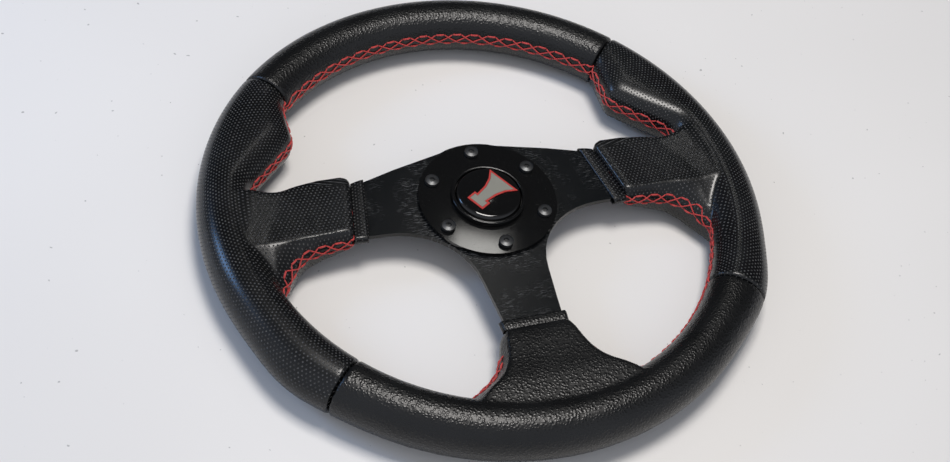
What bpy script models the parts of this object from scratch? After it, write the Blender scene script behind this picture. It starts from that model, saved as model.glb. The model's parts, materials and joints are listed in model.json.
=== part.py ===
"""Sport steering wheel with the wheel-side half of a ball-lock quick release, as separate pieces.

Metres. The wheel lies flat, face up: +Z points at the driver, +Y is the top of the wheel, the steering
axis is the Z axis, and Z = 0 is the end face of the quick-release sleeve, which the wheel stands on.
"""

import math

import bmesh
import bpy
from mathutils import Matrix, Vector

MM = 0.001
GAP = 0.3  # between pieces that touch; all constants here are in millimetres

RIM_R = 156.0  # centre line of the rim tube
RIM_Z = 19.0
TUBE_OUT, TUBE_IN, TUBE_HIGH = 16.0, 16.0, 16.5
PALM_OUT, PALM_TURN = 19.5, -34.0  # swell under the palms, and its angle from the side spoke
SEAMS = {"top_right": 42.4, "top_left": 135.8, "bottom_left": 222.7, "bottom_right": 324.1}
THUMB_X = 104.0  # inner edge of the thumb rest, parallel to Y
THUMB_SLOPE = (32.6, 33.9, 5627.8)  # a x + b y = c, its lower edge down to the notch
HOOP_R = 6.2

PLATE_Z, PLATE_T = 21.5, 3.0
RING_Z, RING_T, RING_R = 24.8, 2.5, 42.2
HUB_HOLE_R = 21.6
SCREW_PCD, SCREW_COUNT = 70.0, 6
SCREW_HEAD_R, SCREW_HEAD_Z, SCREW_HEAD_H = 4.2, 27.5, 3.0
SCREW_R, SCREW_TIP_Z, SCREW_HOLE_R, HEX_SCREW = 2.5, 17.6, 2.8, 3.4
SLANT = 0.18  # the spoke bands lean by this much per millimetre of height

FLANGE_R, FLANGE_Z, FLANGE_T = 39.5, 17.2, 4.0
SLEEVE_R, SOCKET_AF, SOCKET_DEPTH = 13.5, 19.2, 13.0
BALL_R, BALL_ORBIT, BALL_Z, BALL_COUNT = 2.5, 11.0, 9.0, 3
COLLAR_TRAVEL = 4.0

RED = (0.55, 0.03, 0.03, 1.0)


def material(name, colour, roughness, metallic):
    made = bpy.data.materials.new(name)
    made.use_nodes = True
    shader = made.node_tree.nodes["Principled BSDF"]
    shader.inputs["Base Color"].default_value = (*colour[:3], 1.0)
    shader.inputs["Roughness"].default_value = roughness
    shader.inputs["Metallic"].default_value = metallic
    return made


def new_collection(name):
    made = bpy.data.collections.new(name)
    bpy.context.scene.collection.children.link(made)
    return made


def place(name, data, look=None):
    obj = bpy.data.objects.new(name, data)
    if look is None:
        CUTTERS.objects.link(obj)
        obj.hide_render = True
        obj.display_type = "WIRE"
    else:
        WHEEL.objects.link(obj)
        data.materials.append(look)
    return obj


def smooth(mesh, angle=35):
    mesh.shade_smooth()
    mesh.set_sharp_from_angle(angle=math.radians(angle))


def mesh_of(bm, name):
    bmesh.ops.scale(bm, vec=(MM, MM, MM), verts=bm.verts)
    bmesh.ops.recalc_face_normals(bm, faces=bm.faces)
    mesh = bpy.data.meshes.new(name)
    bm.to_mesh(mesh)
    bm.free()
    smooth(mesh)
    return mesh


def turned(name, profile, steps, look=None, closed=False):
    """A profile of (radius, z) points spun about Z. It runs down its outer side."""
    mesh = bpy.data.meshes.new(name)
    points = [(r * MM, 0.0, z * MM) for r, z in profile]
    edges = [(i, i + 1) for i in range(len(points) - 1)]
    mesh.from_pydata(points, edges + ([(len(points) - 1, 0)] if closed else []), [])
    obj = place(name, mesh, look)
    screw = obj.modifiers.new("spin", "SCREW")
    screw.steps = screw.render_steps = steps
    screw.use_merge_vertices = True
    screw.merge_threshold = 0.00001
    return obj


def circle(radius, count, centre=(0.0, 0.0), start=0.0):
    return [
        (
            centre[0] + radius * math.cos(math.radians(start) + math.tau * i / count),
            centre[1] + radius * math.sin(math.radians(start) + math.tau * i / count),
        )
        for i in range(count)
    ]


def flat(name, outlines, z, thickness, look=None):
    """A sheet with the given outline and holes, from z up, welded into one mesh."""
    curve = bpy.data.curves.new(name, "CURVE")
    curve.dimensions = "2D"
    curve.fill_mode = "BOTH"
    curve.extrude = thickness * MM / 2
    for outline in outlines:
        spline = curve.splines.new("POLY")
        spline.points.add(len(outline) - 1)
        spline.use_cyclic_u = True
        for point, (x, y) in zip(spline.points, outline):
            point.co = (x * MM, y * MM, 0.0, 1.0)
    source = bpy.data.objects.new(name + "_outline", curve)
    bpy.context.scene.collection.objects.link(source)
    source.location.z = (z + thickness / 2) * MM
    graph = bpy.context.evaluated_depsgraph_get()
    mesh = bpy.data.meshes.new_from_object(source.evaluated_get(graph))
    bm = bmesh.new()
    bm.from_mesh(mesh)
    bmesh.ops.remove_doubles(bm, verts=bm.verts, dist=0.000001)
    bmesh.ops.recalc_face_normals(bm, faces=bm.faces)
    bm.to_mesh(mesh)
    bm.free()
    smooth(mesh)
    mesh.name = name
    obj = place(name, mesh, look)
    obj.location = source.location
    bpy.data.objects.remove(source)
    return obj


def loft(name, rings, look=None):
    """A solid through rings with equal numbers of points, closed at both ends."""
    bm = bmesh.new()
    rows = [[bm.verts.new(point) for point in ring] for ring in rings]
    for first, second in zip(rows, rows[1:]):
        for i in range(len(first)):
            j = (i + 1) % len(first)
            bm.faces.new((first[i], first[j], second[j], second[i]))
    bm.faces.new(rows[0])
    bm.faces.new(rows[-1])
    return place(name, mesh_of(bm, name), look)


def cylinders(name, rods, spin=0.0, look=None):
    """Rods given as (radius, sides, start, end), joined in one object; spin turns each one's facets."""
    bm = bmesh.new()
    for radius, sides, start, end in rods:
        start, end = Vector(start), Vector(end)
        turn = Vector((0, 0, 1)).rotation_difference(end - start).to_matrix().to_4x4()
        turn = turn @ Matrix.Rotation(math.radians(spin), 4, "Z")
        bmesh.ops.create_cone(
            bm, cap_ends=True, segments=sides, radius1=radius, radius2=radius,
            depth=(end - start).length, matrix=Matrix.Translation((start + end) / 2) @ turn,
        )
    return place(name, mesh_of(bm, name), look)


def boolean(obj, other, operation="DIFFERENCE"):
    step = obj.modifiers.new(other.name, "BOOLEAN")
    step.operation = operation
    step.solver = "EXACT"
    step.object = other


def helix(name, radius, wire, low, high, turns, look):
    """A compression spring whose end turns lie against their seats."""
    curve = bpy.data.curves.new(name, "CURVE")
    curve.dimensions = "3D"
    curve.fill_mode = "FULL"
    curve.bevel_depth = wire * MM
    curve.bevel_resolution = 1
    curve.use_fill_caps = True
    count = round(turns * 12)
    spline = curve.splines.new("POLY")
    spline.points.add(count)
    for i, point in enumerate(spline.points):
        t = i / count
        rise = min(max((t * turns - 0.5) / (turns - 1.0), 0.0), 1.0)
        angle = math.tau * turns * t
        z = low + wire + (high - low - 2 * wire) * rise + 0.3 * (t - 0.5) * (1 - abs(2 * t - 1))
        point.co = (radius * math.cos(angle) * MM, radius * math.sin(angle) * MM, z * MM, 1.0)
    return place(name, curve, look)


def bezier(p0, p1, p2, p3, count):
    points = []
    for i in range(count + 1):
        t = i / count
        weights = ((1 - t) ** 3, 3 * t * (1 - t) ** 2, 3 * t * t * (1 - t), t**3)
        points.append(tuple(sum(w * p[k] for w, p in zip(weights, (p0, p1, p2, p3))) for k in (0, 1)))
    return points


def arc(radius, start, end, count):
    return [
        (radius * math.cos(math.radians(a)), radius * math.sin(math.radians(a)))
        for a in (start + (end - start) * i / count for i in range(count + 1))
    ]


def plate_outline():
    """Three spokes out to the rim hoop: right half from top to bottom, then its mirror."""
    reach = RIM_R - HOOP_R - GAP
    right = arc(45.0, 90.0, 73.0, 3)
    right += [(18.0, 41.0), (50.0, 33.2), (70.0, 27.2), (100.0, 19.0)]
    right += arc(reach, 4.5, -3.0, 3)
    right += [(100.0, -11.5), (76.0, -13.0)]
    right += bezier((66.0, -13.2), (43.0, -14.0), (22.0, -30.0), (20.3, -56.0), 10)
    right += [(18.3, -77.0), (17.5, -87.0), (15.0, -115.0)]
    right += arc(reach, 275.0, 270.0, 2)
    return right + [(-x, y) for x, y in reversed(right[1:-1])]


def grown(outline, by):
    """The outline moved outwards, which is to the left when it runs clockwise."""
    moved = []
    for i, point in enumerate(outline):
        here = Vector(point)
        before = (here - Vector(outline[i - 1])).normalized()
        after = (Vector(outline[(i + 1) % len(outline)]) - here).normalized()
        side = Vector((-before.y - after.y, before.x + after.x)).normalized()
        moved.append(tuple(here + side * by / max(0.5, side.dot(Vector((-after.y, after.x))))))
    return moved


def from_side(angle):
    """The angle above the nearer horizontal spoke, the same on the left and on the right."""
    turn = angle if math.cos(math.radians(angle)) > 0 else 180 - angle
    return (turn + 180) % 360 - 180


def inner_reach(angle):
    """How far the rim reaches inwards of its centre line, which is further at the thumb rests."""
    turn = math.radians(from_side(angle))
    a, b, c = THUMB_SLOPE
    if not 0.2 < turn < 0.85:
        return TUBE_IN
    edge = max(THUMB_X / math.cos(turn), c / (a * math.cos(turn) + b * math.sin(turn)))
    return max(TUBE_IN, RIM_R - edge)


def outer_reach(angle):
    return TUBE_OUT + (PALM_OUT - TUBE_OUT) * math.exp(-(((from_side(angle) - PALM_TURN) / 9) ** 2))


def rim_section(name, start, end, stations, look):
    """One leather-covered length of rim; its ends are tucked in at the seams."""
    tuck = math.degrees(GAP / 2 / RIM_R)
    span = end - start
    angles = [start + tuck, start + 0.6]
    angles += [start + span * i / stations for i in range(1, stations)]
    angles += [end - 0.6, end - tuck]
    rings = []
    for i, angle in enumerate(angles):
        edge = 0.93 if i in (0, len(angles) - 1) else 1.0
        inward, outward = inner_reach(angle), outer_reach(angle)
        turn = math.radians(angle)
        ring = []
        for k in range(20):
            phi = math.tau * k / 20
            r = math.cos(phi) * (outward if math.cos(phi) > 0 else inward) * edge
            z = RIM_Z + math.sin(phi) * TUBE_HIGH * edge
            ring.append(((RIM_R + r) * math.cos(turn), (RIM_R + r) * math.sin(turn), z))
        rings.append(ring)
    return loft(name, rings, look)


def swell(x, y):
    """How much the hand grip rises over a spoke pad, from a slanting foot line up to the rim."""
    return 0.1 * max(0.0, x - (131.9 - 0.44 * y))


def pad_ring(x, high, crease, low, top, bottom):
    """Section of a spoke pad as (across, z): its top, a sloped lower side and eased corners."""
    first = high - 1.5
    tops = [first + (crease - first) * i / 3 for i in range(4)]
    return [(y, min(top + swell(x, y), max(top, 34.3))) for y in tops] + [
        (low, 0.55 * top + 0.45 * bottom), (low, bottom + 1.5),
        (low + 1.5, bottom), (high - 1.5, bottom), (high, bottom + 1.5), (high, top - 1.5),
    ]


def side_pad(name, side):
    stations = (
        (78.7, 26.4, -9.6, -13.4, 28.6, 16.8, 1.0), (79.9, 28.5, -10.4, -14.4, 29.7, 16.0, 1.0),
        (84.0, 30.6, -10.8, -14.8, 29.9, 14.6, 0.95), (99.0, 30.2, -11.3, -16.3, 30.1, 10.8, 0.6),
        (112.0, 28.0, -12.0, -18.8, 30.7, 8.0, 0.3), (120.5, 25.4, -12.5, -23.5, 31.2, 6.5, 0.0),
        (124.5, 25.0, -12.8, -28.5, 31.5, 6.0, 0.0), (128.5, 25.2, -13.0, -34.5, 31.8, 5.4, 0.0),
        (132.0, 26.2, -13.0, -39.5, 32.0, 5.0, 0.0), (136.0, 27.5, -13.0, -45.5, 32.2, 4.6, 0.0),
        (141.0, 28.5, -13.0, -47.5, 32.5, 4.6, 0.0), (146.0, 29.3, -13.0, -49.0, 32.8, 4.6, 0.0),
        (151.0, 30.0, -13.0, -50.0, 33.0, 4.6, 0.0),
    )
    rings = [
        [(side * (x + lean * SLANT * (27 - y)), y, z) for y, z in pad_ring(x, high, crease, low, top, bottom)]
        for x, high, crease, low, top, bottom, lean in stations
    ]
    return loft(name, rings)


def bottom_pad(name):
    stations = (
        (-93.3, 19.8, 17.8, 27.4, 16.6), (-96.5, 22.8, 19.8, 28.8, 13.8), (-107.0, 25.4, 21.8, 29.9, 10.8),
        (-118.0, 31.5, 25.4, 31.0, 8.0), (-126.0, 42.7, 32.5, 32.4, 5.6), (-134.0, 59.0, 45.8, 33.0, 4.6),
        (-147.0, 65.0, 51.0, 33.0, 4.6),
    )
    rings = []
    for y, wide, top_wide, top, bottom in stations:
        right = [(top_wide, top), (wide, 0.55 * top + 0.45 * bottom), (wide, bottom + 1.5), (wide - 1.5, bottom)]
        rings.append([(x, y, z) for x, z in right] + [(-x, y, z) for x, z in reversed(right)])
    return loft(name, rings)


def horn_pictogram():
    """Outline of a plain trumpet horn pointing up and to the right."""
    half = [(12.5, 9.0), (8.0, 5.8), (1.5, 3.6), (-7.5, 2.7), (-7.5, 4.8), (-12.0, 4.8)]
    turn = math.radians(32)
    return [
        (x * math.cos(turn) - y * math.sin(turn), x * math.sin(turn) + y * math.cos(turn))
        for x, y in half[::-1] + [(x, -y) for x, y in half]
    ]


for old in list(bpy.data.objects):
    bpy.data.objects.remove(old)
WHEEL = new_collection("quick_release_steering_wheel")
CUTTERS = new_collection("cutters")

BLACK_LEATHER = material("pebbled_leather", (0.018, 0.018, 0.02), 0.45, 0.0)
GRIP_LEATHER = material("perforated_leather", (0.016, 0.017, 0.02), 0.5, 0.0)
ANODISED = material("black_anodised_plate", (0.02, 0.02, 0.024), 0.35, 0.9)
GLOSS = material("gloss_black", (0.008, 0.008, 0.009), 0.06, 0.0)
SCREW_STEEL = material("screw_steel", (0.16, 0.165, 0.17), 0.35, 1.0)
BRIGHT = material("bright_metal", (0.6, 0.6, 0.62), 0.2, 1.0)
SPRING_STEEL = material("spring_steel", (0.45, 0.45, 0.46), 0.3, 1.0)
BRASS = material("contact_brass", (0.7, 0.5, 0.2), 0.3, 1.0)
PLASTIC = material("black_plastic", (0.02, 0.02, 0.02), 0.5, 0.0)
ALLOY = material("black_alloy", (0.03, 0.03, 0.035), 0.4, 0.9)
COLLAR_ALLOY = material("collar_alloy", (0.35, 0.36, 0.38), 0.3, 1.0)
HOOP_STEEL = material("hoop_steel", (0.2, 0.2, 0.21), 0.5, 1.0)
EMBLEM_RED = material("emblem_red", RED, 0.4, 0.0)
EMBLEM_GREY = material("emblem_grey", (0.22, 0.22, 0.2), 0.4, 0.0)

screw_points = circle(SCREW_PCD / 2, SCREW_COUNT, start=30)
screw_holes = [circle(SCREW_HOLE_R, 12, centre=point) for point in screw_points]

# Rim hoop and spoke plate
bpy.ops.mesh.primitive_torus_add(
    major_radius=RIM_R * MM, minor_radius=HOOP_R * MM, major_segments=60, minor_segments=8,
    location=(0, 0, RIM_Z * MM),
)
hoop = bpy.context.active_object
hoop.name = "rim_hoop"
hoop.data.materials.append(HOOP_STEEL)
smooth(hoop.data, 60)
for holder in list(hoop.users_collection):
    holder.objects.unlink(hoop)
WHEEL.objects.link(hoop)
spokes = plate_outline()
flat("spoke_plate", [spokes, circle(HUB_HOLE_R, 40)] + screw_holes, PLATE_Z, PLATE_T, ANODISED)

# Padding and leather, cleared for the hoop and the spokes
bpy.ops.mesh.primitive_torus_add(
    major_radius=RIM_R * MM, minor_radius=(HOOP_R + GAP) * MM, major_segments=60, minor_segments=8,
    location=(0, 0, RIM_Z * MM),
)
hoop_bore = bpy.context.active_object
hoop_bore.name = "hoop_bore"
hoop_bore.hide_render = True
hoop_bore.display_type = "WIRE"
for holder in list(hoop_bore.users_collection):
    holder.objects.unlink(hoop_bore)
CUTTERS.objects.link(hoop_bore)
spoke_slot = flat("spoke_slot", [grown(spokes, GAP)], PLATE_Z - GAP, PLATE_T + 2 * GAP)

sections = (
    ("top_wrap", "top_right", "top_left", 18, BLACK_LEATHER, None),
    ("left_grip", "top_left", "bottom_left", 24, GRIP_LEATHER, side_pad("left_pad_form", -1)),
    ("bottom_wrap", "bottom_left", "bottom_right", 20, BLACK_LEATHER, bottom_pad("bottom_pad_form")),
    ("right_grip", "bottom_right", "top_right", 22, GRIP_LEATHER, side_pad("right_pad_form", 1)),
)
for name, start, end, stations, look, pad in sections:
    first, last = SEAMS[start], SEAMS[end]
    wrap = rim_section(name, first, last if last > first else last + 360, stations, look)
    if pad:
        boolean(wrap, pad, "UNION")
    boolean(wrap, hoop_bore)
    if pad:
        boolean(wrap, spoke_slot)

# Leather bands round the spokes where they enter the pads
for name, side in (("left_band", -1), ("right_band", 1)):
    corners = [(69.9, 28.4), (78.1, 26.6), (85.9, -13.8), (77.5, -14.5)]
    band = flat(name, [[(side * x, y) for x, y in corners]], PLATE_Z - 1.4, PLATE_T + 2.8, GRIP_LEATHER)
    boolean(band, spoke_slot)
band = flat(
    "bottom_band", [[(19.2, -86.5), (18.7, -93.0), (-18.7, -93.0), (-19.2, -86.5)]],
    PLATE_Z - 1.4, PLATE_T + 2.8, BLACK_LEATHER,
)
boolean(band, spoke_slot)

# Trim ring and its six socket-head screws
flat("trim_ring", [circle(RING_R, 60), circle(HUB_HOLE_R, 40)] + screw_holes, RING_Z, RING_T, GLOSS)
head_top = SCREW_HEAD_Z + SCREW_HEAD_H
screw_form = turned(
    "screw_form",
    [(0, head_top), (SCREW_HEAD_R - 0.5, head_top), (SCREW_HEAD_R, head_top - 0.5), (SCREW_HEAD_R, SCREW_HEAD_Z),
     (SCREW_R, SCREW_HEAD_Z), (SCREW_R, SCREW_TIP_Z + 0.5), (SCREW_R - 0.5, SCREW_TIP_Z), (0, SCREW_TIP_Z)],
    16,
)
hexagon = HEX_SCREW / math.sqrt(3)
boolean(screw_form, cylinders("screw_hexagon", [(hexagon, 6, (0, 0, head_top - 2.0), (0, 0, head_top + 1))]))
graph = bpy.context.evaluated_depsgraph_get()
screw_mesh = bpy.data.meshes.new_from_object(screw_form.evaluated_get(graph))
smooth(screw_mesh)
screw_mesh.materials.append(SCREW_STEEL)
for index, (x, y) in enumerate(screw_points):
    screw = bpy.data.objects.new(f"screw_{index + 1}", screw_mesh)
    screw.location = (x * MM, y * MM, 0)
    WHEEL.objects.link(screw)

# Horn button: housing, contacts, spring, bezel and the cap that moves down
turned(
    "horn_housing",
    [(0, 20.3), (20.2, 20.3), (20.2, 27.1), (21.2, 27.1), (21.2, 19.3), (0, 19.3)], 32, PLASTIC,
)
turned(
    "horn_bezel", [(22.1, 30.7), (22.6, 30.2), (22.6, 27.6), (20.4, 27.6), (20.4, 30.3), (20.8, 30.7)],
    48, GLOSS, closed=True,
)
turned(
    "horn_contact_fixed", [(10.0, 21.4), (10.0, 20.6), (6.0, 20.6), (6.0, 21.4)], 24, BRASS, closed=True,
)
helix("horn_spring", 14.0, 0.5, 20.6, 28.4, 3.5, SPRING_STEEL)
cap_axis = bpy.data.objects.new("horn_cap_axis", None)
WHEEL.objects.link(cap_axis)
cap = turned(
    "horn_cap",
    [(0, 31.9), (8, 31.88), (14, 31.8), (17, 31.6), (18.6, 31.1), (19.5, 30.3), (19.9, 29.3), (19.9, 24.3),
     (18.4, 24.3), (18.4, 28.7), (4, 28.7), (4, 24.7), (0, 24.7)],
    40, GLOSS,
)
contact = turned("horn_contact_moving", [(0, 24.4), (9.0, 24.4), (9.0, 23.6), (0, 23.6)], 24, BRASS)
horn = horn_pictogram()
edge = flat("emblem_edge", [grown(horn, 1.2), grown(horn, 0.15)], 32.2, 0.5, EMBLEM_RED)
face = flat("emblem_face", [horn], 32.2, 0.5, EMBLEM_GREY)
for piece in (cap, contact, edge, face):
    piece.parent = cap_axis

# Quick release: flange and hexagon sleeve, collar, spring, locking balls, retaining ring
body = turned(
    "qr_body",
    [(0, 19.0), (HUB_HOLE_R, 19.0), (HUB_HOLE_R, FLANGE_Z + FLANGE_T), (FLANGE_R - 0.6, FLANGE_Z + FLANGE_T),
     (FLANGE_R, FLANGE_Z + FLANGE_T - 0.6), (FLANGE_R, FLANGE_Z), (SLEEVE_R, FLANGE_Z), (SLEEVE_R, 2.1),
     (12.5, 2.1), (12.5, 0.7), (SLEEVE_R - 0.2, 0.7), (SLEEVE_R - 0.7, 0), (0, 0)],
    48, ALLOY,
)
socket = SOCKET_AF / math.sqrt(3)
holes = [(SCREW_HOLE_R, 12, (x, y, FLANGE_Z - 1), (x, y, FLANGE_Z + FLANGE_T + 1)) for x, y in screw_points]
ball_angles = [math.radians(90 + 360 * i / BALL_COUNT) for i in range(BALL_COUNT)]
pockets = [
    (BALL_R + GAP, 12, (6 * math.cos(a), 6 * math.sin(a), BALL_Z), (20 * math.cos(a), 20 * math.sin(a), BALL_Z))
    for a in ball_angles
]
socket_cutter = cylinders("socket_cutter", [(socket, 6, (0, 0, -1), (0, 0, SOCKET_DEPTH))], spin=30)
boolean(body, socket_cutter)
boolean(body, cylinders("flange_holes", holes, spin=7))
boolean(body, cylinders("ball_pockets", pockets, spin=7))

collar_axis = bpy.data.objects.new("qr_collar_axis", None)
WHEEL.objects.link(collar_axis)
collar = turned(
    "qr_collar",
    [(23.4, 10.9), (24.0, 10.3), (24.0, 7.8), (23.2, 7.4), (23.2, 5.8), (24.0, 5.4), (24.0, 2.7), (23.4, 2.1),
     (14.1, 2.1), (13.8, 2.4), (13.8, 2.65), (15.3, 2.75), (15.3, 4.8), (13.8, 9.6), (13.8, 10.9),
     (16.8, 10.9), (16.8, 4.0), (20.6, 4.0), (20.6, 10.9)],
    36, COLLAR_ALLOY, closed=True,
)
collar.parent = collar_axis
helix("qr_spring", 18.7, 0.6, 4.3, FLANGE_Z - GAP, 3.5, SPRING_STEEL)
flat("retaining_ring", [arc(16.5, 278.0, 622.0, 28) + arc(12.8, 620.0, 280.0, 24)], 1.0, 0.8, SPRING_STEEL)
ball_mesh = bpy.data.meshes.new("ball")
bm = bmesh.new()
bmesh.ops.create_uvsphere(bm, u_segments=12, v_segments=8, radius=BALL_R * MM)
bm.to_mesh(ball_mesh)
bm.free()
smooth(ball_mesh, 60)
ball_mesh.materials.append(BRIGHT)
for index, angle in enumerate(ball_angles):
    ball = bpy.data.objects.new(f"locking_ball_{index + 1}", ball_mesh)
    ball.location = (BALL_ORBIT * math.cos(angle) * MM, BALL_ORBIT * math.sin(angle) * MM, BALL_Z * MM)
    WHEEL.objects.link(ball)
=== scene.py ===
"""Sport steering wheel with a quick-release hub: the visual model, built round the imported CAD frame."""

import json
import math

import bmesh
import bpy
import numpy as np
from mathutils import Matrix, Vector
from mathutils.bvhtree import BVHTree


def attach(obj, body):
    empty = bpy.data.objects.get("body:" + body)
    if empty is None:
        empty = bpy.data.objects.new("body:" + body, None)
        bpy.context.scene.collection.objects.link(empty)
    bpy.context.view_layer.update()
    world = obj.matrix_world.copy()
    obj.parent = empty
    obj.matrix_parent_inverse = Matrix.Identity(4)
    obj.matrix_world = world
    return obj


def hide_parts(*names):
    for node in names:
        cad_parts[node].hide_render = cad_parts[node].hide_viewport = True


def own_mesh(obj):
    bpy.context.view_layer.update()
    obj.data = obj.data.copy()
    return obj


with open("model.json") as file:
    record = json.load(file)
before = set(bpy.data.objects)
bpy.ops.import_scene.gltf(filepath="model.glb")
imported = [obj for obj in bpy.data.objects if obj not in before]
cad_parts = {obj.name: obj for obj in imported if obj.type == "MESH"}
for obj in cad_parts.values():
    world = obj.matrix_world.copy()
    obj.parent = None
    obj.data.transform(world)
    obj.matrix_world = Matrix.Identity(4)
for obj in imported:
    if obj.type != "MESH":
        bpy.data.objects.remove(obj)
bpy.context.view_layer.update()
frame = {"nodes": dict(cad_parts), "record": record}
nodes = frame["nodes"]

# Lengths are in millimetres until MM turns them into metres.
# Angles round the rim run anticlockwise from the driver's right.
MM = 0.001
RIM_R, RIM_Z = 156.0, 19.0  # centre line of the rim's padding
TUBE_OUT, TUBE_IN, TUBE_HIGH = 16.0, 16.0, 16.5  # its reach outwards, inwards and up
PALM_OUT, PALM_TURN, PALM_SPREAD = 19.5, -34.0, 9  # palm swell: reach outwards, place and spread
THUMB_X = 104.0  # inner face of the thumb rest
THUMB_SLOPE = (32.6, 33.9, 5627.8)  # its slanting face, as a * x + b * y = c
THUMB_FROM, THUMB_TO = 5, 60  # the thumb rest lies between these angles above the spoke
SEAMS = {"top_right": 42.4, "top_left": 135.8, "bottom_left": 222.7, "bottom_right": 324.1}
SEAM_GAP = 0.15  # from a seam's middle to the leather on each side
PLATE_Z, PLATE_T = 21.5, 3.0
SLANT = 0.18  # how far the pads' hub ends lean
PAD_PIVOT_Y = 27  # they lean about this line
VOXEL = 0.0012  # metres


# ---------------------------------------------------------------- material helpers
class Look:
    """A material being built: short calls that add nodes and link them."""

    def __init__(self, name):
        self.made = bpy.data.materials.new(name)
        self.made.use_nodes = True
        self.tree = self.made.node_tree
        self.shader = self.tree.nodes["Principled BSDF"]

    def set(self, **values):
        for key, value in values.items():
            name = key.replace("_", " ").title().replace("Ior", "IOR")
            self.shader.inputs[name].default_value = value
        return self

    def feed(self, socket, value):
        """Links an output to the socket, or gives the socket a plain value."""
        if isinstance(value, bpy.types.NodeSocket):
            self.tree.links.new(value, socket)
        else:
            socket.default_value = value

    def node(self, kind, inputs=None, **settings):
        made = self.tree.nodes.new(kind)
        for key, value in settings.items():
            setattr(made, key, value)
        for key, value in (inputs or {}).items():
            self.feed(made.inputs[key], value)
        return made

    def math(self, operation, a, b=0.0, c=0.0):
        return self.node("ShaderNodeMath", {0: a, 1: b, 2: c}, operation=operation).outputs[0]

    def vector(self, operation, a, b):
        return self.node("ShaderNodeVectorMath", {0: a, 1: b}, operation=operation).outputs[0]

    def length(self, a, b):
        return self.math("SQRT", self.math("ADD", self.math("MULTIPLY", a, a), self.math("MULTIPLY", b, b)))

    def ramp(self, value, low, high, out_low=0.0, out_high=1.0):
        made = self.node(
            "ShaderNodeMapRange",
            {"Value": value, "From Min": low, "From Max": high, "To Min": out_low, "To Max": out_high},
            interpolation_type="SMOOTHSTEP",
        )
        return made.outputs["Result"]

    def mix(self, factor, a, b):
        """A colour between a and b. The node keeps its colour sockets after those for numbers and vectors."""
        return self.node("ShaderNodeMix", {0: factor, 6: a, 7: b}, data_type="RGBA").outputs[2]

    def noise(self, vector, scale, detail=2.0, roughness=0.5):
        inputs = {"Vector": vector, "Scale": scale, "Detail": detail, "Roughness": roughness}
        return self.node("ShaderNodeTexNoise", inputs).outputs["Fac"]

    def bump(self, height, distance, strength=1.0):
        inputs = {"Height": height, "Distance": distance, "Strength": strength}
        return self.node("ShaderNodeBump", inputs).outputs["Normal"]

    def link(self, socket, name):
        self.tree.links.new(socket, self.shader.inputs[name])

    def place(self):
        return self.node("ShaderNodeTexCoord").outputs["Object"]

    def split(self, vector):
        return self.node("ShaderNodeSeparateXYZ", {"Vector": vector}).outputs


def grey(value, tint=0.0):
    return (value * (1 - tint), value, value * (1 + tint), 1.0)


def worn(look, where, scale, dark, light):
    """Large soft variation of a leather's colour, and the cloud that makes it."""
    cloud = look.noise(where, scale, 3.0)
    return cloud, look.mix(look.ramp(cloud, 0.35, 0.7), dark, light)


def pebbled_leather(name):
    """Domed pebbles about 1.6 mm across, pushed out of line so that they don't look like a pattern."""
    look = Look(name).set(specular_ior_level=0.42)
    where = look.place()
    warp = look.node("ShaderNodeTexNoise", {"Vector": where, "Scale": 420.0, "Detail": 1.0}).outputs["Color"]
    moved = look.vector("ADD", where, look.vector("MULTIPLY", warp, (0.0011,) * 3))
    cells = look.node(
        "ShaderNodeTexVoronoi", {"Vector": moved, "Scale": 620.0, "Randomness": 0.9}, feature="F1"
    ).outputs["Distance"]
    pebble = look.ramp(cells, 0.1, 0.72, 1.0, 0.0)
    fine = look.noise(where, 5200.0, 2.0)
    height = look.math("MULTIPLY_ADD", fine, 0.05, pebble)
    cloud, skin = worn(look, where, 28.0, grey(0.0035, 0.04), grey(0.006, 0.04))
    look.link(skin, "Base Color")
    rough = look.math("MULTIPLY_ADD", pebble, -0.12, 0.32)
    look.link(look.math("MULTIPLY_ADD", cloud, 0.06, rough), "Roughness")
    look.link(look.bump(height, 0.00013), "Normal")
    return look.made


def perforated_leather(name, pitch=2.5, row=1.9, hole=0.36):
    """Staggered round holes on the uv map, which is in units of 100 mm, painted pale grey inside as a painted
    glint of light catching them.
    """
    look = Look(name).set(specular_ior_level=0.42)
    where = look.place()
    uv = look.split(look.node("ShaderNodeUVMap", uv_map="grain").outputs["UV"])
    v = look.math("MULTIPLY", uv[1], 100.0 / row)
    line = look.math("FLOOR", v)
    stagger = look.math("MULTIPLY", look.math("MODULO", look.math("ABSOLUTE", line), 2.0), 0.5)
    u = look.math("ADD", look.math("MULTIPLY", uv[0], 100.0 / pitch), stagger)
    du = look.math("MULTIPLY", look.math("SUBTRACT", look.math("FRACT", u), 0.5), pitch)
    dv = look.math("MULTIPLY", look.math("SUBTRACT", look.math("FRACT", v), 0.5), row)
    solid = look.ramp(look.length(du, dv), hole - 0.1, hole + 0.2)
    grain = look.noise(where, 2600.0, 3.0, 0.6)
    cloud, skin = worn(look, where, 30.0, grey(0.0035, 0.08), grey(0.007, 0.08))
    # Pale grey in the holes is a painted glint: light catching their rims, painted into the colour
    painted_hole_glint = look.mix(look.ramp(look.noise(where, 300.0), 0.4, 0.6), grey(0.035), grey(0.085))
    look.link(look.mix(solid, painted_hole_glint, skin), "Base Color")
    polish = look.math("SUBTRACT", 1.0, look.math("MULTIPLY_ADD", cloud, 0.08, 0.2))
    look.link(look.math("SUBTRACT", 1.0, look.math("MULTIPLY", solid, polish)), "Roughness")
    height = look.math("MULTIPLY_ADD", grain, 0.05, solid)
    look.link(look.bump(height, 0.00022), "Normal")
    return look.made


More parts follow.
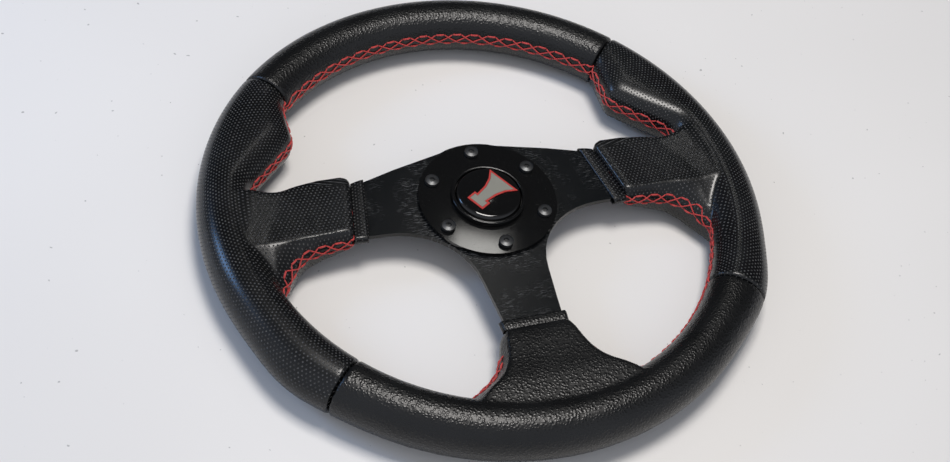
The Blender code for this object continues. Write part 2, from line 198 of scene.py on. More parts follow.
def anodised(name):
    """Black anodised sheet with short bright rub marks along X, most round the trim ring and the bands, and a
    painted highlight of light grey along its bevelled edges.
    """
    look = Look(name).set(specular_ior_level=0.3)
    where = look.place()
    x, y, _ = look.split(where)
    streak = look.noise(look.vector("MULTIPLY", where, (230.0, 1500.0, 1.0)), 1.0, 2.0, 0.65)
    fine = look.noise(look.vector("MULTIPLY", where, (60.0, 2600.0, 1.0)), 1.0, 1.0)
    around = look.length(x, y)
    near_ring = look.ramp(around, 0.060, 0.045)
    near_band = look.ramp(around, 0.060, 0.072)
    patches = look.ramp(look.noise(where, 55.0, 2.0), 0.35, 0.6)
    handled = look.math("MAXIMUM", near_ring, look.math("MULTIPLY", near_band, 0.6))
    rubbed = look.math("MULTIPLY", handled, patches)
    marks = look.math("MULTIPLY", look.ramp(streak, 0.53, 0.64), rubbed)
    # Only the bevelled edges face neither straight up nor sideways; they are painted light grey, a painted
    # highlight standing for the bright table that they reflect
    facing = look.math("ABSOLUTE", look.split(look.node("ShaderNodeNewGeometry").outputs["Normal"])[2])
    edge = look.math("MULTIPLY", look.ramp(facing, 0.1, 0.3), look.ramp(facing, 0.97, 0.88))
    skin = look.mix(marks, grey(0.0035, 0.2), grey(0.075, 0.02))
    # Painted highlight: the bevelled edges take a light grey in place of the table's reflection
    look.link(look.mix(edge, skin, grey(0.3)), "Base Color")
    rough = look.math("MULTIPLY_ADD", fine, 0.1, 0.18)
    look.link(look.math("MULTIPLY_ADD", marks, 0.15, rough), "Roughness")
    look.link(look.bump(look.math("MULTIPLY_ADD", marks, -0.5, fine), 0.00002, 0.5), "Normal")
    return look.made


def glossy(name, colour, roughness=0.04, wiped=0.05):
    """Polished paint or moulded plastic with faint dust and wipe marks."""
    look = Look(name).set(base_color=colour)
    where = look.place()
    dust = look.ramp(look.noise(where, 1500.0, 2.0), 0.66, 0.74)
    wipe = look.noise(where, 60.0, 2.0)
    rough = look.math("MULTIPLY_ADD", wipe, wiped, roughness)
    look.link(look.math("MULTIPLY_ADD", dust, 0.3, rough), "Roughness")
    look.link(look.bump(wipe, 0.00001, 0.15), "Normal")
    return look.made


def metal(name, colour, roughness, metallic=1.0):
    """Turned or drawn metal with a cloudy polish."""
    look = Look(name).set(metallic=metallic)
    where = look.place()
    cloud = look.noise(where, 150.0, 3.0)
    fine = look.noise(where, 2700.0, 2.0)
    darker = (*(c * 0.6 for c in colour[:3]), 1.0)
    look.link(look.mix(look.ramp(cloud, 0.3, 0.7), darker, colour), "Base Color")
    look.link(look.math("MULTIPLY_ADD", cloud, 0.12, roughness), "Roughness")
    look.link(look.bump(fine, 0.00003, 0.3), "Normal")
    return look.made


def plastic(name, colour, roughness=0.45):
    look = Look(name)
    where = look.place()
    fine = look.noise(where, 3000.0, 2.0)
    darker = (*(c * 0.75 for c in colour[:3]), 1.0)
    look.link(look.mix(look.noise(where, 90.0, 3.0), darker, colour), "Base Color")
    look.link(look.math("MULTIPLY_ADD", fine, 0.12, roughness), "Roughness")
    look.link(look.bump(fine, 0.00004, 0.3), "Normal")
    return look.made


def thread(name):
    """Waxed sewing thread with a fine twist."""
    look = Look(name).set(sheen_weight=0.2)
    where = look.place()
    twist = look.noise(where, 2600.0, 1.0)
    strands = look.ramp(twist, 0.3, 0.7)
    look.link(look.mix(strands, (0.3, 0.016, 0.016, 1), (0.62, 0.045, 0.04, 1)), "Base Color")
    look.link(look.math("MULTIPLY_ADD", twist, 0.2, 0.5), "Roughness")
    look.link(look.bump(twist, 0.0002, 0.6), "Normal")
    return look.made


LOOKS = {
    "pebbled_leather": pebbled_leather("pebbled"),
    "perforated_leather": perforated_leather("perforated"),
    "anodised_plate": anodised("anodised"),
    "gloss_ring": glossy("gloss_ring_paint", grey(0.004)),
    "gloss_black": glossy("gloss_cap", grey(0.004)),
    "screw_steel": metal("screw_steel", grey(0.13, 0.02), 0.36, metallic=0.85),
    "ball_steel": metal("ball_steel", grey(0.6), 0.12),
    "spring_steel": metal("spring_wire", grey(0.42), 0.28),
    "contact_brass": metal("contact_brass", (0.62, 0.42, 0.15, 1.0), 0.3),
    "black_plastic": plastic("housing_plastic", grey(0.02)),
    "black_alloy": metal("hub_alloy", grey(0.03, 0.05), 0.34, metallic=0.8),
    "collar_alloy": metal("collar_alloy", grey(0.42, 0.02), 0.26),
    "hoop_alloy": metal("hoop_alloy", grey(0.4), 0.4),
    "emblem_red": plastic("emblem_red", (0.5, 0.035, 0.03, 1.0), 0.3),
    "emblem_grey": plastic("emblem_grey", (0.24, 0.235, 0.2, 1.0), 0.35),
}
THREAD = thread("red_thread")


def new_piece(name, mesh_or_curve, look, body="wheel", instead_of=()):
    obj = bpy.data.objects.new(name, mesh_or_curve)
    bpy.context.scene.collection.objects.link(obj)
    mesh_or_curve.materials.clear()
    mesh_or_curve.materials.append(look)
    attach(obj, body)
    if instead_of:
        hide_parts(*instead_of)
    return obj


def mesh_of(name, bm):
    """The mesh that this bmesh holds. It frees the bmesh."""
    mesh = bpy.data.meshes.new(name)
    bm.to_mesh(mesh)
    bm.free()
    return mesh


# ---------------------------------------------------------------- leather sections
def from_side(angle):
    """The angle above the nearer horizontal spoke, the same on the left and on the right."""
    turn = np.where(np.cos(np.radians(angle)) > 0, angle, 180 - angle)
    return (turn + 180) % 360 - 180


def smooth_step(value, low, high):
    t = np.clip((value - low) / (high - low), 0, 1)
    return t * t * (3 - 2 * t)


def thumb_edge(turn):
    """Inner reach of the padding at this angle above the side spoke."""
    a, b, c = THUMB_SLOPE
    angle = np.radians(np.clip(turn, THUMB_FROM, THUMB_TO))
    edge = np.maximum(THUMB_X / np.cos(angle), c / (a * np.cos(angle) + b * np.sin(angle)))
    rest = (turn > THUMB_FROM) & (turn < THUMB_TO)
    return np.where(rest, np.maximum(TUBE_IN, RIM_R - edge), TUBE_IN)


# The reach at every quarter of a degree, with its corners softened, and the ends of the table left out
TURNS = np.arange(-200.0, 200.0, 0.25)
SOFTEN = np.exp(-0.5 * (np.arange(-3.0, 3.01, 0.25) / 0.9) ** 2)
REACHES = np.convolve(thumb_edge(TURNS), SOFTEN / SOFTEN.sum(), mode="same")
TURNS, REACHES = TURNS[20:-20], REACHES[20:-20]


def inner_reach(angle):
    return np.interp(from_side(angle), TURNS, REACHES)


def outer_reach(angle):
    return TUBE_OUT + (PALM_OUT - TUBE_OUT) * np.exp(-(((from_side(angle) - PALM_TURN) / PALM_SPREAD) ** 2))


def squared(inward):
    """The power that squares off the inner half of the tube, more where the padding reaches further in."""
    return 2.0 / (2.15 + 1.1 * np.clip((inward - TUBE_IN) / 14, 0, 1))


def section(phi, inward, outward):
    """How far out and up the skin is from the tube's centre line; phi is 0 outside, a quarter turn on top."""
    power = squared(inward)
    c, s = np.cos(phi), np.sin(phi)
    out = np.where(c > 0, c * outward, np.sign(c) * np.abs(c) ** power * inward)
    return out, np.where(c > 0, s, np.sign(s) * np.abs(s) ** power) * TUBE_HIGH


def ringed(points, rings, around):
    """Points that run ring by ring, and the faces of the closed skin over them."""
    faces = []
    for i in range(rings - 1):
        here, after = i * around, (i + 1) * around
        for k in range(around):
            n = (k + 1) % around
            faces.append((here + k, here + n, after + n, after + k))
    last = (rings - 1) * around
    return points, faces + [tuple(range(around))[::-1], tuple(range(last, last + around))]


def tube_mesh(start, end, around=96, step=0.8):
    count = max(2, int((end - start) / step))
    phis = np.arange(around) * math.tau / around
    angle, phi = np.meshgrid(np.linspace(start, end, count), phis, indexing="ij")
    out, up = section(phi, inner_reach(angle), outer_reach(angle))
    r, turn = RIM_R + out, np.radians(angle)
    points = np.stack([r * np.cos(turn), r * np.sin(turn), RIM_Z + up], -1).reshape(-1, 3) * MM
    return ringed(points, count, around)


def swell(x, y):
    """How much the hand grip rises over a spoke pad, from a slanting foot line up to the rim."""
    return 0.1 * max(0.0, x - (131.9 - 0.44 * y))


def waist(top, bottom):
    """Height of the line along a pad's side where it is widest."""
    return 0.55 * top + 0.45 * bottom


def pad_ring(high, crease, low, top, bottom, x, highest=34.3, corner=1.5):
    """One slice of a side pad: ten points over its top, then its lower edge, underside and upper edge."""
    first = high - corner
    tops = [first + (crease - first) * i / 9 for i in range(10)]
    return [(y, min(top + swell(x, y), max(top, highest))) for y in tops] + [
        (low, waist(top, bottom)), (low, bottom + corner),
        (low + corner, bottom), (high - corner, bottom), (high, bottom + corner), (high, top - corner),
    ]


# x, y of the upper edge, of the crease and of the lower edge, z of the top and of the underside, the lean
SIDE_PAD = (
    (78.7, 26.4, -9.6, -13.4, 28.6, 16.8, 1.0), (79.9, 28.5, -10.4, -14.4, 29.7, 16.0, 1.0),
    (84.0, 30.6, -10.8, -14.8, 29.9, 14.6, 0.95), (99.0, 30.2, -11.3, -16.3, 30.1, 10.8, 0.6),
    (112.0, 28.0, -12.0, -18.8, 30.7, 8.0, 0.3), (120.5, 25.4, -12.5, -23.5, 31.2, 6.5, 0.0),
    (124.5, 25.0, -12.8, -28.5, 31.5, 6.0, 0.0), (128.5, 25.2, -13.0, -34.5, 31.8, 5.4, 0.0),
    (132.0, 26.2, -13.0, -39.5, 32.0, 5.0, 0.0), (136.0, 27.5, -13.0, -45.5, 32.2, 4.6, 0.0),
    (141.0, 28.5, -13.0, -47.5, 32.5, 4.6, 0.0), (146.0, 29.3, -13.0, -49.0, 32.8, 4.6, 0.0),
    (151.0, 30.0, -13.0, -50.0, 33.0, 4.6, 0.0),
)
# y, half width, half width on top, z of the top and of the underside
BOTTOM_PAD = (
    (-93.3, 19.8, 17.8, 27.4, 16.6), (-96.5, 22.8, 19.8, 28.8, 13.8), (-107.0, 25.4, 21.8, 29.9, 10.8),
    (-118.0, 31.5, 25.4, 31.0, 8.0), (-126.0, 42.7, 32.5, 32.4, 5.6), (-134.0, 59.0, 45.8, 33.0, 4.6),
    (-147.0, 65.0, 51.0, 33.0, 4.6),
)


def pad_mesh(rings):
    return ringed(np.array([point for ring in rings for point in ring]) * MM, len(rings), len(rings[0]))


def side_pad(side):
    return pad_mesh([
        [(side * (x + lean * SLANT * (PAD_PIVOT_Y - y)), y, z) for y, z in pad_ring(*outline, x)]
        for x, *outline, lean in SIDE_PAD
    ])


def eased(table, count=31, spread=0.6):
    """The table drawn out to more rows, each the mean of those near it, which rounds off its corners."""
    table = np.array(table)
    last = len(table) - 1
    spots = np.clip(np.linspace(0, last, count)[:, None] + np.linspace(-spread, spread, 7), 0, last)
    rows = np.stack([np.interp(spots, range(len(table)), column) for column in table.T], -1).mean(axis=1)
    rows[0], rows[-1] = table[0], table[-1]
    return rows


def bottom_pad(corner=1.5):
    rings = []
    for y, wide, top_wide, top, bottom in eased(BOTTOM_PAD):
        side = [(wide, waist(top, bottom)), (wide, bottom + corner), (wide - corner, bottom)]
        right = [(top_wide, top), *side]
        rings.append([(x, y, z) for x, z in right] + [(-x, y, z) for x, z in reversed(right)])
    return pad_mesh(rings)


def joined(name, parts):
    bm = bmesh.new()
    for points, faces in parts:
        verts = [bm.verts.new(p) for p in points]
        for face in faces:
            bm.faces.new([verts[i] for i in face])
    bmesh.ops.recalc_face_normals(bm, faces=bm.faces)
    return mesh_of(name, bm)


def applied(mesh, *modifiers):
    """The mesh after these modifiers, given as (type, settings)."""
    obj = bpy.data.objects.new("work", mesh)
    bpy.context.scene.collection.objects.link(obj)
    for kind, settings in modifiers:
        step = obj.modifiers.new(kind, kind)
        for key, value in settings.items():
            setattr(step, key, value)
    graph = bpy.context.evaluated_depsgraph_get()
    result = bpy.data.meshes.new_from_object(obj.evaluated_get(graph))
    bpy.data.objects.remove(obj)
    return result


def read(items, key, width=1, kind=np.float32):
    """One value, or one row of values, for each item of a mesh."""
    values = np.empty(len(items) * width, kind)
    items.foreach_get(key, values)
    return values.reshape(-1, width) if width > 1 else values


def coordinates(mesh):
    return read(mesh.vertices, "co", 3).astype(np.float64) / MM


def girth_table(reaches, phi_steps, mean_out=18.0):
    """Length along the skin from the outer equator, for each inner reach and each step of phi."""
    phi = np.linspace(-math.pi, math.pi, phi_steps + 1)
    table = []
    for reach in reaches:
        out, up = section(phi, reach, mean_out)
        length = np.concatenate([[0], np.cumsum(np.hypot(np.diff(out), np.diff(up)))])
        table.append(length - length[phi_steps // 2])
    return np.array(table)


def girth(points, phi_steps=360):
    """Distance along the skin from the rim's outer equator, signed, for each point."""
    angle = np.degrees(np.arctan2(points[:, 1], points[:, 0]))
    radius = np.hypot(points[:, 0], points[:, 1])
    inward, outward = inner_reach(angle), outer_reach(angle)
    r = (radius - RIM_R) / np.where(radius > RIM_R, outward, inward)
    z = (points[:, 2] - RIM_Z) / TUBE_HIGH
    power = np.where(r > 0, 1.0, squared(inward))
    phi = np.arctan2(np.sign(z) * np.abs(z) ** (1 / power), np.sign(r) * np.abs(r) ** (1 / power))
    reaches = np.linspace(TUBE_IN, 36.0, 11)
    table = girth_table(reaches, phi_steps)
    low = np.clip(np.searchsorted(reaches, inward) - 1, 0, len(reaches) - 2)
    share = np.clip((inward - reaches[low]) / (reaches[1] - reaches[0]), 0, 1)
    column = (phi + math.pi) / math.tau * phi_steps
    left = np.clip(np.floor(column).astype(int), 0, phi_steps - 1)
    part = column - left

    def along(row):
        return table[row, left] * (1 - part) + table[row, left + 1] * part

    return along(low) * (1 - share) + along(low + 1) * share


def lay_grain(mesh, side, longest_step=25):
    """Writes the uv map: along and round the rim, or flat across the spoke pad, in units of 100 mm."""
    points = coordinates(mesh)
    angle = np.arctan2(points[:, 1], points[:, 0])
    if side == "left":
        angle = np.where(angle < -math.pi / 2, angle + math.tau, angle)
    corners = read(mesh.loops, "vertex_index", kind=np.int32)
    face_of = np.repeat(np.arange(len(mesh.polygons)), read(mesh.polygons, "loop_total", kind=np.int32))
    normals = np.abs(read(mesh.polygons, "normal", 3))
    centres = read(mesh.polygons, "center", 3) / MM
    u, v = (angle * RIM_R)[corners], girth(points)[corners]
    # A face across the join on the inside takes one side's lengths
    first = np.full(len(mesh.polygons), np.nan)
    first[face_of[::-1]] = v[::-1]
    v = np.where(np.abs(v - first[face_of]) > longest_step, first[face_of], v)
    # The pad's own faces lie inside a line that moves out towards the pad's foot
    radius = np.hypot(centres[:, 0], centres[:, 1])
    turn = from_side(np.degrees(np.arctan2(centres[:, 1], centres[:, 0])))
    limit = 137.0 + 0.42 * np.clip(20.0 - centres[:, 1], 0, 30)
    on_pad = ((radius < limit) & (turn < 14.5) & (centres[:, 1] > -60) & (centres[:, 1] < 34))[face_of]
    p = points[corners]
    top = (normals[:, 2] > 0.55)[face_of]
    side_on = (normals[:, 1] >= normals[:, 0])[face_of]
    across = np.where(top | side_on, p[:, 0], p[:, 1])
    upright = np.where(top, p[:, 1], p[:, 2])
    u, v = np.where(on_pad, across, u), np.where(on_pad, upright, v)
    layer = mesh.uv_layers.new(name="grain")
    layer.data.foreach_set("uv", (np.stack([u, v], -1) / 100.0).astype(np.float32).ravel())


def tuck_ends(mesh, start, end, depth=1.1, length=1.6):
    """Rolls the leather in at the seams, where it is pulled down into the groove."""
    points = coordinates(mesh)
    angle = np.degrees(np.arctan2(points[:, 1], points[:, 0]))
    middle = (start + end) / 2
    angle = (angle - middle + 180) % 360 - 180 + middle
    gap = np.minimum(angle - start, end - angle) * math.radians(1) * RIM_R
    pull = depth * np.clip(1 - gap / length, 0, 1) ** 2
    turn = np.radians(angle)
    centre = np.stack([RIM_R * np.cos(turn), RIM_R * np.sin(turn), np.full_like(turn, RIM_Z)], -1)
    away = points - centre
    size = np.linalg.norm(away, axis=1)
    points -= away * (pull / np.maximum(size, 1.0))[:, None]
    mesh.vertices.foreach_set("co", (points * MM).astype(np.float32).ravel())
    mesh.update()


PADS = {"left": lambda: side_pad(-1), "right": lambda: side_pad(1), "bottom": bottom_pad}


def leather_section(name, first_seam, last_seam, slot, pad):
    """The rim's padding between two seams, run together with a spoke pad where there is one."""
    start, end = SEAMS[first_seam], SEAMS[last_seam]
    end = end if end > start else end + 360
    edge = math.degrees(SEAM_GAP / RIM_R)
    parts = [tube_mesh(start + edge, end - edge)] + ([PADS[pad]()] if pad else [])
    mesh = applied(
        joined(name + "_form", parts),
        ("REMESH", {"mode": "VOXEL", "voxel_size": VOXEL, "use_smooth_shade": True}),
        ("SMOOTH", {"factor": 0.5, "iterations": 7}),
    )
    tuck_ends(mesh, start, end)
    if slot == "perforated_leather":
        lay_grain(mesh, pad)
    mesh.shade_smooth()
    skin = new_piece(name + "_leather", mesh, LOOKS[slot], instead_of=(name,))
    return skin


SKINS = (
    leather_section("top_wrap", "top_right", "top_left", "pebbled_leather", None),
    leather_section("left_grip", "top_left", "bottom_left", "perforated_leather", "left"),
    leather_section("bottom_wrap", "bottom_left", "bottom_right", "pebbled_leather", "bottom"),
    leather_section("right_grip", "bottom_right", "top_right", "perforated_leather", "right"),
)


# ---------------------------------------------------------------- lattice stitching
def surface_tree():
    bm = bmesh.new()
    for skin in SKINS:
        bm.from_mesh(skin.data)
    tree = BVHTree.FromBMesh(bm)
    bm.free()
    return tree


TREE = surface_tree()
STITCH_Z, THREAD_R = 21.3, 0.52
STEPS_PER_DEGREE = 4
LOOK_FOR = 0.25  # how far away a wall is looked for, in metres
LONGEST_SPAN = 3.2  # a stitch with a longer step than this has left the wall
THREAD_SINK = 0.25  # how deep a stitch's ends lie in the leather


def wall(centre, angle, z):
    """The place and the inward normal of the window's wall, seen from the centre at this height."""
    origin = Vector((centre[0] * MM, centre[1] * MM, z * MM))
    heading = Vector((math.cos(angle), math.sin(angle), 0))
    hit, normal, _, _ = TREE.ray_cast(origin, heading, LOOK_FOR)
    if hit is None:
        return None, None
    return hit, normal if normal.dot(heading) < 0 else -normal


def stitched_edge(name, centre, start, end, near, high, drop=0.0):
    """Lattice stitches along the wall seen from the centre of a window, between two directions in degrees.

    near is about one lattice cell's length, high is the lattice's height, and drop lowers it by the rim."""
    angles, lengths, lowered, last = [], [], [], None
    steps = int(abs(end - start) * STEPS_PER_DEGREE)
    for i in range(steps + 1):
        angle = math.radians(start + (end - start) * i / steps)
        hit, _ = wall(centre, angle, STITCH_Z)
        if hit is None:
            continue
        lengths.append(0.0 if last is None else lengths[-1] + (hit - last).length / MM)
        angles.append(angle)
        lowered.append(float(smooth_step(hit.xy.length / MM, 130.0, 139.0)))
        last = hit
    total = lengths[-1]
    pitch = total / round(total / near)
    count = round(total / pitch)
    curve = bpy.data.curves.new(name, "CURVE")
    curve.dimensions = "3D"
    curve.bevel_depth = THREAD_R * MM
    curve.bevel_resolution = 2
    curve.use_fill_caps = True

    def stitch(u0, v0, u1, v1, arch, size, points=9):
        """One thread from (u0, v0) to (u1, v1), with u in cells along the wall and v up the lattice."""
        if min(u0, u1) < -0.01 or max(u0, u1) > count + 0.01:
            return
        found = []
        for i in range(points):
            t = i / (points - 1)
            u = (u0 + (u1 - u0) * t) * pitch
            v = v0 + (v1 - v0) * t
            angle = float(np.interp(u, lengths, angles))
            middle = STITCH_Z - drop * float(np.interp(u, lengths, lowered))
            hit, normal = wall(centre, angle, middle + (v - 0.5) * high)
            if hit is None:
                return
            lift = arch * math.sin(math.pi * t) ** 0.4 - THREAD_SINK
            found.append(hit + normal * lift * MM)
        if max((b - a).length for a, b in zip(found, found[1:])) > LONGEST_SPAN * MM:
            return
        spline = curve.splines.new("POLY")
        spline.points.add(len(found) - 1)
        for point, at in zip(spline.points, found):
            point.co = (*at, 1.0)
            point.radius = size

    # In each cell a short stitch on top, one at the foot, and two long threads that cross
    for k in range(-1, count + 1):
        stitch(k - 0.21, 1.0, k + 0.21, 1.0, 0.6, 1.15)
        stitch(k + 0.29, 0.0, k + 0.71, 0.0, 0.6, 1.15)
        stitch(k + 0.27, 0.97, k + 1.23, 0.03, 0.75, 0.8, 13)
        stitch(k + 0.73, 0.97, k - 0.23, 0.03, 0.95, 0.8, 13)
    new_piece(name, curve, THREAD)


stitched_edge("upper_stitching", (0.0, 85.0), -33.0, 213.0, 11.5, 6.6)
stitched_edge("lower_right_stitching", (72.0, -68.0), 84.0, -142.0, 9.5, 5.8, 3.0)
stitched_edge("lower_left_stitching", (-72.0, -68.0), 96.0, 322.0, 9.5, 5.8, 3.0)


# ---------------------------------------------------------------- leather bands
BAND_OVER, BAND_T, BAND_WIDE = 1.4, 1.1, 8.6  # over the plate's faces, thickness and width


def band_path(wide, low, high, flat_steps=32, turn_steps=6):
    """Points round a band: over the top, down one side, back below and up the other, as (along, z)."""
    along = [k / flat_steps * wide for k in range(flat_steps + 1)]
    turn = [
        (BAND_OVER * math.sin(math.pi * i / turn_steps), (high - low) * i / turn_steps)
        for i in range(1, turn_steps)
    ]
    path = [(a, high) for a in along]
    path += [(wide + out, high - down) for out, down in turn]
    path += [(wide - a, low) for a in along]
    path += [(-out, low + rise) for out, rise in turn]
    return path


def strap(name, corners, slot, rows=9):
    """A leather band round a spoke: corners are inner top, outer top, outer bottom, inner bottom, in plan."""
    inner_top, outer_top, outer_low, inner_low = (Vector(c) for c in corners)
    low, high = PLATE_Z - BAND_OVER, PLATE_Z + PLATE_T + BAND_OVER
    middle = (low + high) / 2
    wide = (outer_top - outer_low).length
    path = band_path(wide, low, high)
    total = len(path)
    bm = bmesh.new()
    layer = bm.loops.layers.uv.new("grain")

    def at(k, row, deep):
        along, z = path[k]
        share, s = along / wide, row / (rows - 1)
        place = inner_low.lerp(inner_top, share).lerp(outer_low.lerp(outer_top, share), s)
        bulge = 0.35 * math.sin(math.pi * s) - 0.35 + 0.12 * math.sin(along * 2.3 + 3 * s)
        z = middle + (z - middle) * (1 + (bulge - deep) / (high - middle))
        return Vector((place.x, place.y, z)) * MM

    grid = [
        [[bm.verts.new(at(k, row, deep)) for row in range(rows)] for k in range(total)]
        for deep in (0.0, BAND_T)
    ]
    lengths = [0.0]
    for k in range(total):
        lengths.append(lengths[-1] + math.dist(path[k], path[(k + 1) % total]))
    for k in range(total):
        n = (k + 1) % total
        for row in range(rows - 1):
            for sheet, order in zip(grid, (1, -1)):
                square = {
                    sheet[k][row]: (k, row), sheet[n][row]: (k + 1, row),
                    sheet[n][row + 1]: (k + 1, row + 1), sheet[k][row + 1]: (k, row + 1),
                }
                for loop in bm.faces.new(list(square)[::order]).loops:
                    step, line = square[loop.vert]
                    loop[layer].uv = (lengths[step] / 100, line * BAND_WIDE / (rows - 1) / 100)
        for row, order in ((0, 1), (rows - 1, -1)):
            bm.faces.new([grid[0][k][row], grid[1][k][row], grid[1][n][row], grid[0][n][row]][::order])
    bmesh.ops.recalc_face_normals(bm, faces=bm.faces)
    mesh = mesh_of(name, bm)
    mesh.shade_smooth()
    piece = new_piece(name + "_leather", mesh, LOOKS[slot], instead_of=(name,))


strap("right_band", [(69.9, 28.4), (78.1, 26.6), (85.9, -13.8), (77.5, -14.5)], "perforated_leather")
strap("left_band", [(-78.1, 26.6), (-69.9, 28.4), (-77.5, -14.5), (-85.9, -13.8)], "perforated_leather")
strap("bottom_band", [(19.2, -86.5), (18.7, -93.0), (-18.7, -93.0), (-19.2, -86.5)], "pebbled_leather")


# ---------------------------------------------------------------- ring, horn and screws, finer than the CAD
def lathed(name, profile, steps, cuts=(), bevel=0.0):
    """A closed profile of (radius, z) turned round the Z axis, with optional prisms cut from it."""
    bm = bmesh.new()
    rings = []
    for r, z in profile:
        if r == 0:
            rings.append([bm.verts.new((0, 0, z * MM))])
        else:
            turns = (math.tau * k / steps for k in range(steps))
            rings.append([bm.verts.new((r * math.cos(t) * MM, r * math.sin(t) * MM, z * MM)) for t in turns])
    for i, ring in enumerate(rings):
        after = rings[(i + 1) % len(rings)]
        for k in range(steps):
            n = (k + 1) % steps
            corners = [ring[k % len(ring)], ring[n % len(ring)], after[n % len(after)], after[k % len(after)]]
            corners = list(dict.fromkeys(corners))
            if len(corners) > 2:
                bm.faces.new(corners)
    bmesh.ops.recalc_face_normals(bm, faces=bm.faces)
    mesh = mesh_of(name, bm)
    cutting = {"operation": "DIFFERENCE", "solver": "EXACT"}
    modifiers = [("BOOLEAN", {**cutting, "object": cutter}) for cutter in cuts]
    if bevel:
        limit = {"limit_method": "ANGLE", "angle_limit": math.radians(40)}
        modifiers.append(("BEVEL", {"width": bevel * MM, "segments": 2, **limit}))
    if modifiers:
        mesh = applied(mesh, *modifiers)
    mesh.shade_smooth()
    mesh.set_sharp_from_angle(angle=math.radians(35))
    return mesh


def rounded(profile, radius, steps=4):
    """The closed profile with an arc for every corner that bends by over 30 degrees, except on the axis."""
    result = []
    for i, point in enumerate(profile):
        p, q, r = Vector(profile[i - 1]), Vector(point), Vector(profile[(i + 1) % len(profile)])
        back_way, on_way = (p - q), (r - q)
        turn = back_way.angle(on_way)
        if q.x == 0 or turn > math.radians(150):
            result.append(tuple(q))
            continue
        reach = min(radius / math.tan(turn / 2), 0.45 * back_way.length, 0.45 * on_way.length)
        a, b = q + back_way.normalized() * reach, q + on_way.normalized() * reach
        for k in range(steps + 1):
            t = k / steps
            result.append(tuple(a * (1 - t) ** 2 + q * 2 * t * (1 - t) + b * t * t))
    return result


def prism(name, radius, sides, low, high, spin=0.0, at=(0, 0)):
    bm = bmesh.new()
    turn = Matrix.Translation((at[0] * MM, at[1] * MM, (low + high) / 2 * MM)) @ Matrix.Rotation(spin, 4, "Z")
    size = {"radius1": radius * MM, "radius2": radius * MM, "depth": (high - low) * MM}
    bmesh.ops.create_cone(bm, cap_ends=True, segments=sides, matrix=turn, **size)
    return bpy.data.objects.new(name, mesh_of(name, bm))


def remove(objects):
    for obj in objects:
        bpy.data.objects.remove(obj)


SCREW_CIRCLE_R, SCREW_FIRST, SCREW_COUNT = 35, 30, 6
SCREW_TURNS = [math.radians(SCREW_FIRST + 360 // SCREW_COUNT * i) for i in range(SCREW_COUNT)]
SCREW_PLACES = [(SCREW_CIRCLE_R * math.cos(turn), SCREW_CIRCLE_R * math.sin(turn)) for turn in SCREW_TURNS]


def trim_ring(outer=42.2, inner=21.6, low=24.8, high=27.3, hole=2.8):
    holes = [prism("hole", hole, 32, 20, 30, at=place) for place in SCREW_PLACES]
    profile = [(outer, high), (outer, low), (inner, low), (inner, high)]
    mesh = lathed("trim_ring", profile, 160, cuts=holes, bevel=0.35)
    new_piece("trim_ring_fine", mesh, LOOKS["gloss_ring"], instead_of=("trim_ring",))
    remove(holes)


def horn_bezel(outer=22.6, inner=20.4, low=27.6, high=30.7):
    mesh = lathed("bezel", rounded([(outer, high), (outer, low), (inner, low), (inner, high)], 0.45), 120)
    new_piece("horn_bezel_fine", mesh, LOOKS["gloss_black"], instead_of=("horn_bezel",))


def horn_cap():
    """A cup upside down with a slightly domed top, a rounded edge and a stem in the middle."""
    top = [(0, 31.86), (17.2, 31.85), (18.2, 31.6), (18.9, 31.1), (19.5, 30.3), (19.9, 29.3)]
    inside = [(19.9, 24.3), (18.4, 24.3), (18.4, 28.7), (4, 28.7), (4, 24.7), (0, 24.7)]
    mesh = lathed("cap", top + inside, 120)
    new_piece("horn_cap_fine", mesh, LOOKS["gloss_black"], "horn_button", ("horn_cap",))


def screws(head_r=4.2, shank_r=2.5, top=30.5, seat=27.5, foot=17.6, hexagon=3.4):
    """Socket-head screws, each turned another way; hexagon is between the flats of the socket."""
    outline = rounded([(head_r, top), (head_r, seat), (shank_r, seat), (shank_r, foot)], 0.35)
    socket = prism("screw_socket", hexagon / math.sqrt(3), 6, 28.5, 32.0, math.radians(12))
    dimple = prism("screw_dimple", 1.3, 20, 28.1, 29.0)
    mesh = lathed("screw", [(0, top), *outline, (0, foot)], 48, cuts=(socket, dimple))
    for index, (x, y) in enumerate(SCREW_PLACES):
        node = f"screw_{index + 1}"
        screw = new_piece(node + "_fine", mesh, LOOKS["screw_steel"], instead_of=(node,))
        screw.matrix_world = Matrix.Translation((x * MM, y * MM, 0)) @ Matrix.Rotation(index * 1.7, 4, "Z")
    remove((socket, dimple))


trim_ring()
horn_bezel()
horn_cap()
screws()


# ---------------------------------------------------------------- springs
def spring_wire(name, steel="spring_steel"):
    """A copy of the spring's CAD mesh in spring steel, shown in place of the CAD node."""
    wire = new_piece(name + "_wire", nodes[name].data.copy(), LOOKS[steel], instead_of=(name,))
    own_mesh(wire)


spring_wire("horn_spring")
spring_wire("qr_spring")


# ---------------------------------------------------------------- CAD pieces that keep their shape
slots = {part["node"]: part["material_slot"] for part in frame["record"]["subparts"]}
for name, obj in nodes.items():
    obj.data.materials.clear()
    obj.data.materials.append(LOOKS[slots[name]])
for name, width in (("spoke_plate", 0.35), ("qr_body", 0.3)):
    bevel = nodes[name].modifiers.new("edge", "BEVEL")
    bevel.width = width * MM
    bevel.segments = 2
    bevel.limit_method = "ANGLE"
    bevel.angle_limit = math.radians(40)


# ---------------------------------------------------------------- floor, light, camera
def floor_look():
    """Warm white table top with small grey specks."""
    look = Look("table_top").set(specular_ior_level=0.35)
    where = look.place()
    speck = look.ramp(look.noise(where, 260.0, 1.0), 0.765, 0.80)
    cloud = look.noise(where, 3.0, 2.0)
    base = look.mix(look.ramp(cloud, 0.3, 0.7), (0.76, 0.745, 0.725, 1), (0.79, 0.775, 0.755, 1))
    look.link(look.mix(speck, base, (0.45, 0.44, 0.43, 1)), "Base Color")
    look.link(look.math("MULTIPLY_ADD", cloud, 0.1, 0.5), "Roughness")
    return look.made


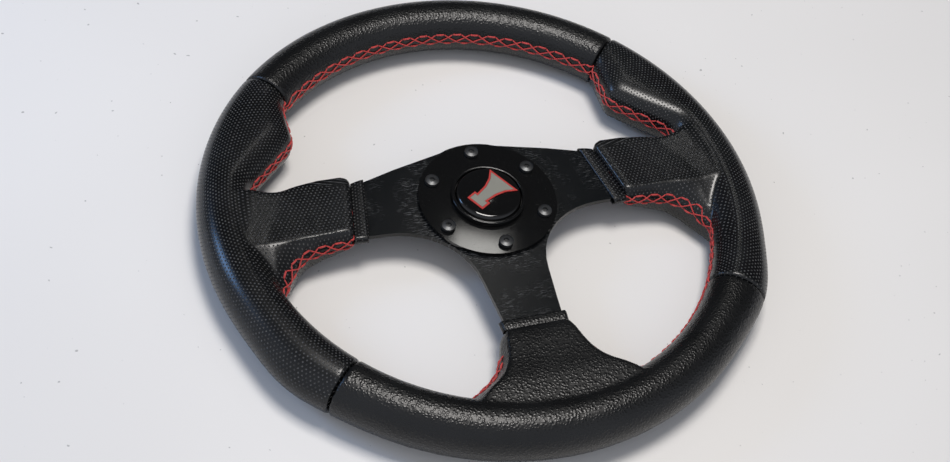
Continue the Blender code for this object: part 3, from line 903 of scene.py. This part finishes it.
FLOOR_HALF, FLOOR_Z = 4, -0.0002  # metres
floor_mesh = bpy.data.meshes.new("table_top")
floor_corners = [(x * FLOOR_HALF, y * FLOOR_HALF, 0) for x, y in ((-1, -1), (1, -1), (1, 1), (-1, 1))]
floor_mesh.from_pydata(floor_corners, [], [(0, 1, 2, 3)])
floor = bpy.data.objects.new("table_top", floor_mesh)
floor.location.z = FLOOR_Z
floor_mesh.materials.append(floor_look())
bpy.context.scene.collection.objects.link(floor)


def toward(azimuth, elevation, distance):
    azimuth, elevation = math.radians(azimuth), math.radians(elevation)
    flat = distance * math.cos(elevation)
    return Vector((flat * math.cos(azimuth), flat * math.sin(azimuth), distance * math.sin(elevation)))


def lamp(name, place, width, height, energy, colour):
    """An area light at this place that faces the wheel's centre."""
    data = bpy.data.lights.new(name, "AREA")
    data.shape = "RECTANGLE"
    data.size, data.size_y = width, height
    data.energy = energy
    data.color = colour
    obj = bpy.data.objects.new(name, data)
    obj.location = place
    obj.rotation_euler = (-place).to_track_quat("-Z", "Y").to_euler()
    bpy.context.scene.collection.objects.link(obj)


lamp("ceiling", toward(50, 85, 1.3), 0.42, 0.42, 12.2, (1.0, 0.965, 0.93))
lamp("window", toward(61.8, 54.2, 1.5), 0.085, 0.085, 0.2, (1.0, 0.985, 0.94))
lamp("blue_left", toward(152, 29, 1.2), 0.24, 0.34, 2.8, (0.3, 0.54, 1.0))


def room_light(dark_way=(0.42, 0.85, 0.3)):
    """Soft light from the room, bright in front and on the left, dark behind and on the right."""
    world = bpy.data.worlds.new("room")
    world.use_nodes = True
    sky = world.node_tree
    way = sky.nodes.new("ShaderNodeTexCoord")
    dot = sky.nodes.new("ShaderNodeVectorMath")
    dot.operation = "DOT_PRODUCT"
    dot.inputs[1].default_value = dark_way
    sky.links.new(way.outputs["Generated"], dot.inputs[0])
    strength = sky.nodes.new("ShaderNodeMapRange")
    strength.interpolation_type = "SMOOTHSTEP"
    for key, value in (("From Min", -0.3), ("From Max", 0.65), ("To Min", 0.66), ("To Max", 0.05)):
        strength.inputs[key].default_value = value
    sky.links.new(dot.outputs["Value"], strength.inputs["Value"])
    sky.links.new(strength.outputs["Result"], sky.nodes["Background"].inputs["Strength"])
    sky.nodes["Background"].inputs["Color"].default_value = (0.86, 0.9, 1.0, 1.0)
    bpy.context.scene.world = world
    bpy.context.scene.view_settings.view_transform = "Standard"


room_light()

AZIMUTH, ELEVATION, ROLL = -27.65, 50.91, 13.11
TARGET, DISTANCE, LENS = Vector((-0.0163, -0.0247, 0.0295)), 0.8361, 54.11  # metres, metres, millimetres


def place_camera():
    az, el, roll = (math.radians(v) for v in (AZIMUTH, ELEVATION, ROLL))
    back = Vector((math.sin(az) * math.cos(el), -math.cos(az) * math.cos(el), math.sin(el)))
    level = Vector((math.cos(az), math.sin(az), 0))
    upright = level.cross(-back)
    right = level * math.cos(roll) + upright * math.sin(roll)
    up = upright * math.cos(roll) - level * math.sin(roll)
    data = bpy.data.cameras.new("camera")
    data.lens = LENS
    data.sensor_width = 36.0
    camera = bpy.data.objects.new("camera", data)
    facing = Matrix((right, up, back)).transposed().to_4x4()
    camera.matrix_world = Matrix.Translation(TARGET + back * DISTANCE) @ facing
    bpy.context.scene.collection.objects.link(camera)
    bpy.context.scene.camera = camera


place_camera()
